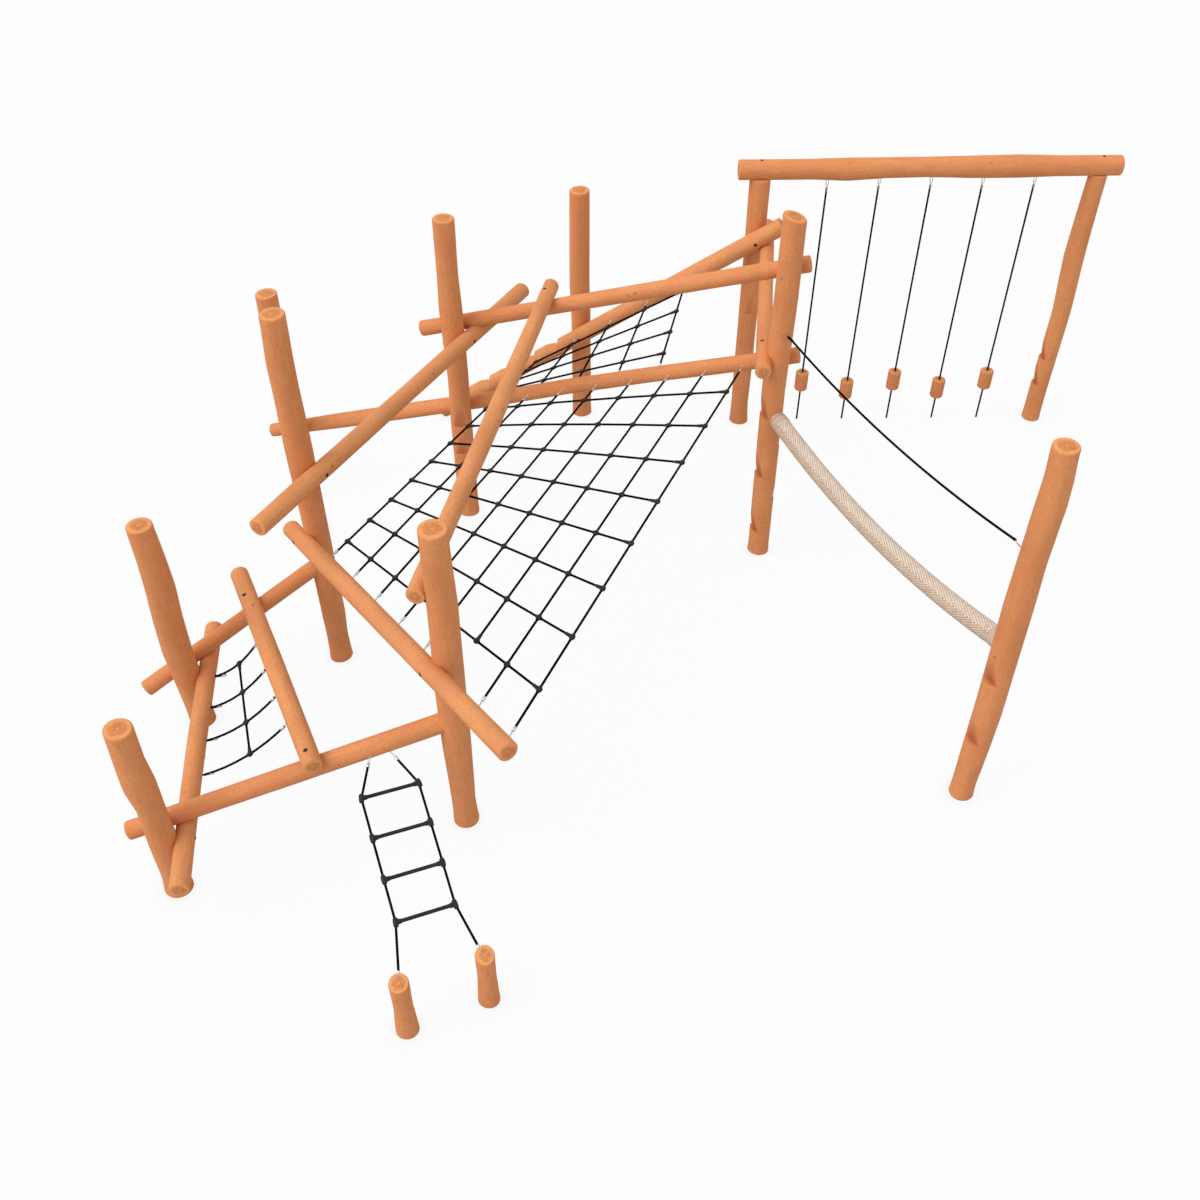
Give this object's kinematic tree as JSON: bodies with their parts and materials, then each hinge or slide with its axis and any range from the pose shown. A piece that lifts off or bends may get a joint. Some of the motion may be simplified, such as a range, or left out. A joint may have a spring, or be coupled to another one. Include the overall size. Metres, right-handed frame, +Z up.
{
  "type": "playground climbing course",
  "caption": "Climbing course of peeled round timber with rope nets, a goal frame of hanging ropes and step blocks, a rope ladder, and a thick balance rope with a hand rope",
  "frame": {"origin": "on the ground under the middle of the plan", "axes": "+X along the goal beam to the right, +Y to the back where the goal frame stands, +Z up"},
  "size_m": [7.8829, 6.8251, 3.1895],
  "materials": {
    "oiled_wood": "peeled and sanded hardwood trunks, oiled orange brown",
    "block_wood": "turned hardwood, oiled",
    "black_rope": "laid black rope with moulded clamps",
    "pale_rope": "thick braided beige rope",
    "grey_plastic": "dark grey moulded plastic",
    "galvanised_steel": "galvanised"
  },
  "bodies": {
    "course": {"goal_beam": "oiled_wood", "goal_post_left": "oiled_wood", "goal_post_right": "oiled_wood", "step_post": "oiled_wood", "ridge_post_left": "oiled_wood", "ridge_post_middle": "oiled_wood", "ridge_post_right": "oiled_wood", "tall_post_left": "oiled_wood", "hammock_post_back": "oiled_wood", "hammock_post_front": "oiled_wood", "net_post_front": "oiled_wood", "balance_post": "oiled_wood", "ladder_stump_left": "oiled_wood", "ladder_stump_right": "oiled_wood", "hammock_log_left": "oiled_wood", "hammock_log_front": "oiled_wood", "hammock_log_back": "oiled_wood", "hammock_log_right": "oiled_wood", "net_log": "oiled_wood", "side_log": "oiled_wood", "upper_log": "oiled_wood", "crown_log": "oiled_wood", "ridge_log": "oiled_wood", "step_log": "oiled_wood", "link_log": "oiled_wood", "climbing_net": "black_rope", "upper_net": "black_rope", "hammock_net": "black_rope", "rope_hanger_1": "galvanised_steel", "rope_hanger_2": "galvanised_steel", "rope_hanger_3": "galvanised_steel", "rope_hanger_4": "galvanised_steel", "rope_hanger_5": "galvanised_steel", "hanging_rope_1": "black_rope", "hanging_rope_2": "black_rope", "hanging_rope_3": "black_rope", "hanging_rope_4": "black_rope", "hanging_rope_5": "black_rope", "ladder_rope_left": "black_rope", "ladder_rope_right": "black_rope", "ladder_rung_1": "grey_plastic", "ladder_rung_2": "grey_plastic", "ladder_rung_3": "grey_plastic", "ladder_rung_4": "grey_plastic", "balance_cuff_start": "grey_plastic", "balance_cuff_end": "grey_plastic", "hand_hook_start": "galvanised_steel", "hand_hook_end": "galvanised_steel"},
    "block_1": {"step_block_1": "block_wood"},
    "block_2": {"step_block_2": "block_wood"},
    "block_3": {"step_block_3": "block_wood"},
    "block_4": {"step_block_4": "block_wood"},
    "block_5": {"step_block_5": "block_wood"},
    "balance": {"balance_rope": "pale_rope"},
    "hand_line": {"hand_rope": "black_rope"}
  },
  "joints": [
    {"name": "block_1_spin", "type": "hinge", "parent": "course", "child": "block_1", "pos_m": [1.44693, 3.12099, 0.455], "axis": [0, 0, 1], "continuous": true},
    {"name": "block_2_spin", "type": "hinge", "parent": "course", "child": "block_2", "pos_m": [1.89283, 3.12869, 0.355], "axis": [0, 0, 1], "continuous": true},
    {"name": "block_3_spin", "type": "hinge", "parent": "course", "child": "block_3", "pos_m": [2.33875, 3.1364, 0.455], "axis": [0, 0, 1], "continuous": true},
    {"name": "block_4_spin", "type": "hinge", "parent": "course", "child": "block_4", "pos_m": [2.78468, 3.14411, 0.355], "axis": [0, 0, 1], "continuous": true},
    {"name": "block_5_spin", "type": "hinge", "parent": "course", "child": "block_5", "pos_m": [3.23061, 3.15182, 0.455], "axis": [0, 0, 1], "continuous": true},
    {"name": "balance_sway", "type": "hinge", "parent": "course", "child": "balance", "pos_m": [0.92443, 1.08952, 1.45576], "axis": [0.4319, -0.9016, 0.0252], "range_deg": [-25, 25]},
    {"name": "hand_rope_sway", "type": "hinge", "parent": "course", "child": "hand_line", "pos_m": [0.94858, 1.0663, 2.22708], "axis": [0.4247, -0.9045, 0.0379], "range_deg": [-35, 35]}
  ]
}
